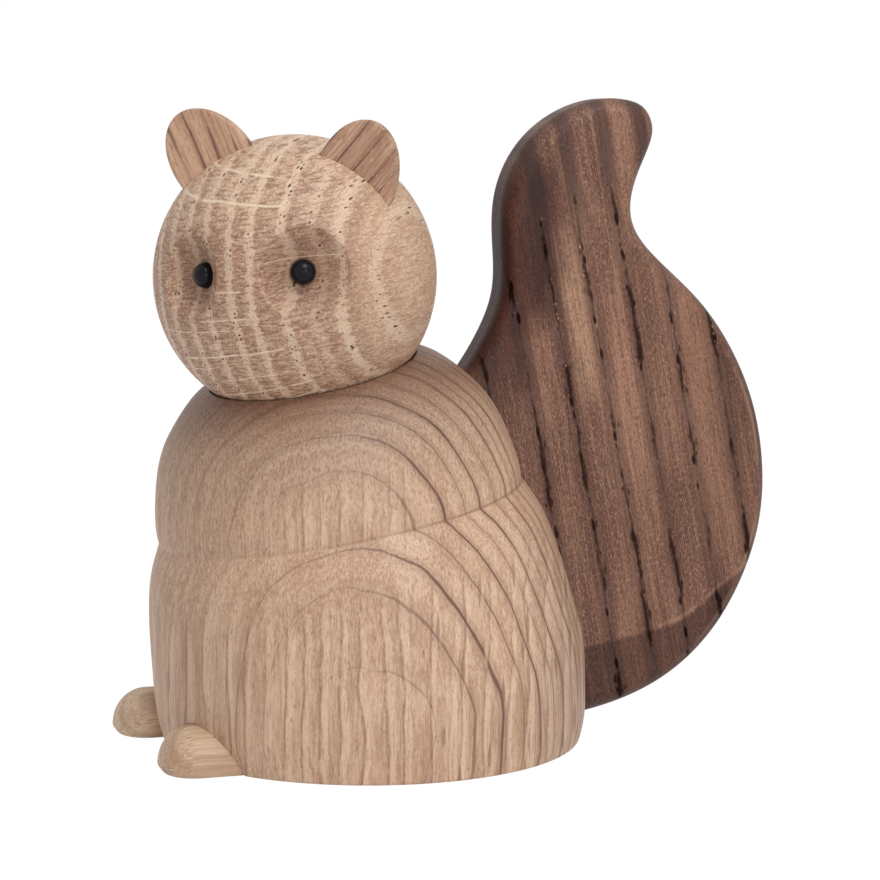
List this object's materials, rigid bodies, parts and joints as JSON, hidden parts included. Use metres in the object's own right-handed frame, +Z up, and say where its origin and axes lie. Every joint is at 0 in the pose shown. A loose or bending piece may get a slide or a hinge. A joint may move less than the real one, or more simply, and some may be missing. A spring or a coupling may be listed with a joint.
{
  "type": "squirrel figurine",
  "caption": "Turned oak squirrel ornament with a round head that turns on its neck, bead eyes, let-in ears and feet, and a broad smoked-oak tail.",
  "frame": {"origin": "on the flat base, where the body's turning axis meets it", "axes": "+Z up, the body faces -Y, its left side is +X and the tail is at +Y; the head is stored turned to the body's left, as pictured"},
  "size_m": [0.0572, 0.0875, 0.0843],
  "materials": {
    "oak_body": "satin",
    "oak_head": "satin",
    "oak_ear": "satin",
    "oak_foot": "satin",
    "oak_smoked": "satin",
    "dowel_wood": "matt",
    "bead_black": "gloss"
  },
  "bodies": {
    "body": {"body": "oak_body", "foot_left": "oak_foot", "foot_right": "oak_foot", "tail": "oak_smoked", "tail_dowel_lower": "dowel_wood", "tail_dowel_upper": "dowel_wood"},
    "head": {"head": "oak_head", "ear_left": "oak_ear", "ear_right": "oak_ear", "eye_left": "bead_black", "eye_right": "bead_black", "neck_dowel": "dowel_wood"}
  },
  "joints": [
    {"name": "head_turn", "type": "hinge", "parent": "body", "child": "head", "pos_m": [0.0041, -0.0125, 0.05], "axis": [0, 0, 1], "continuous": true}
  ]
}
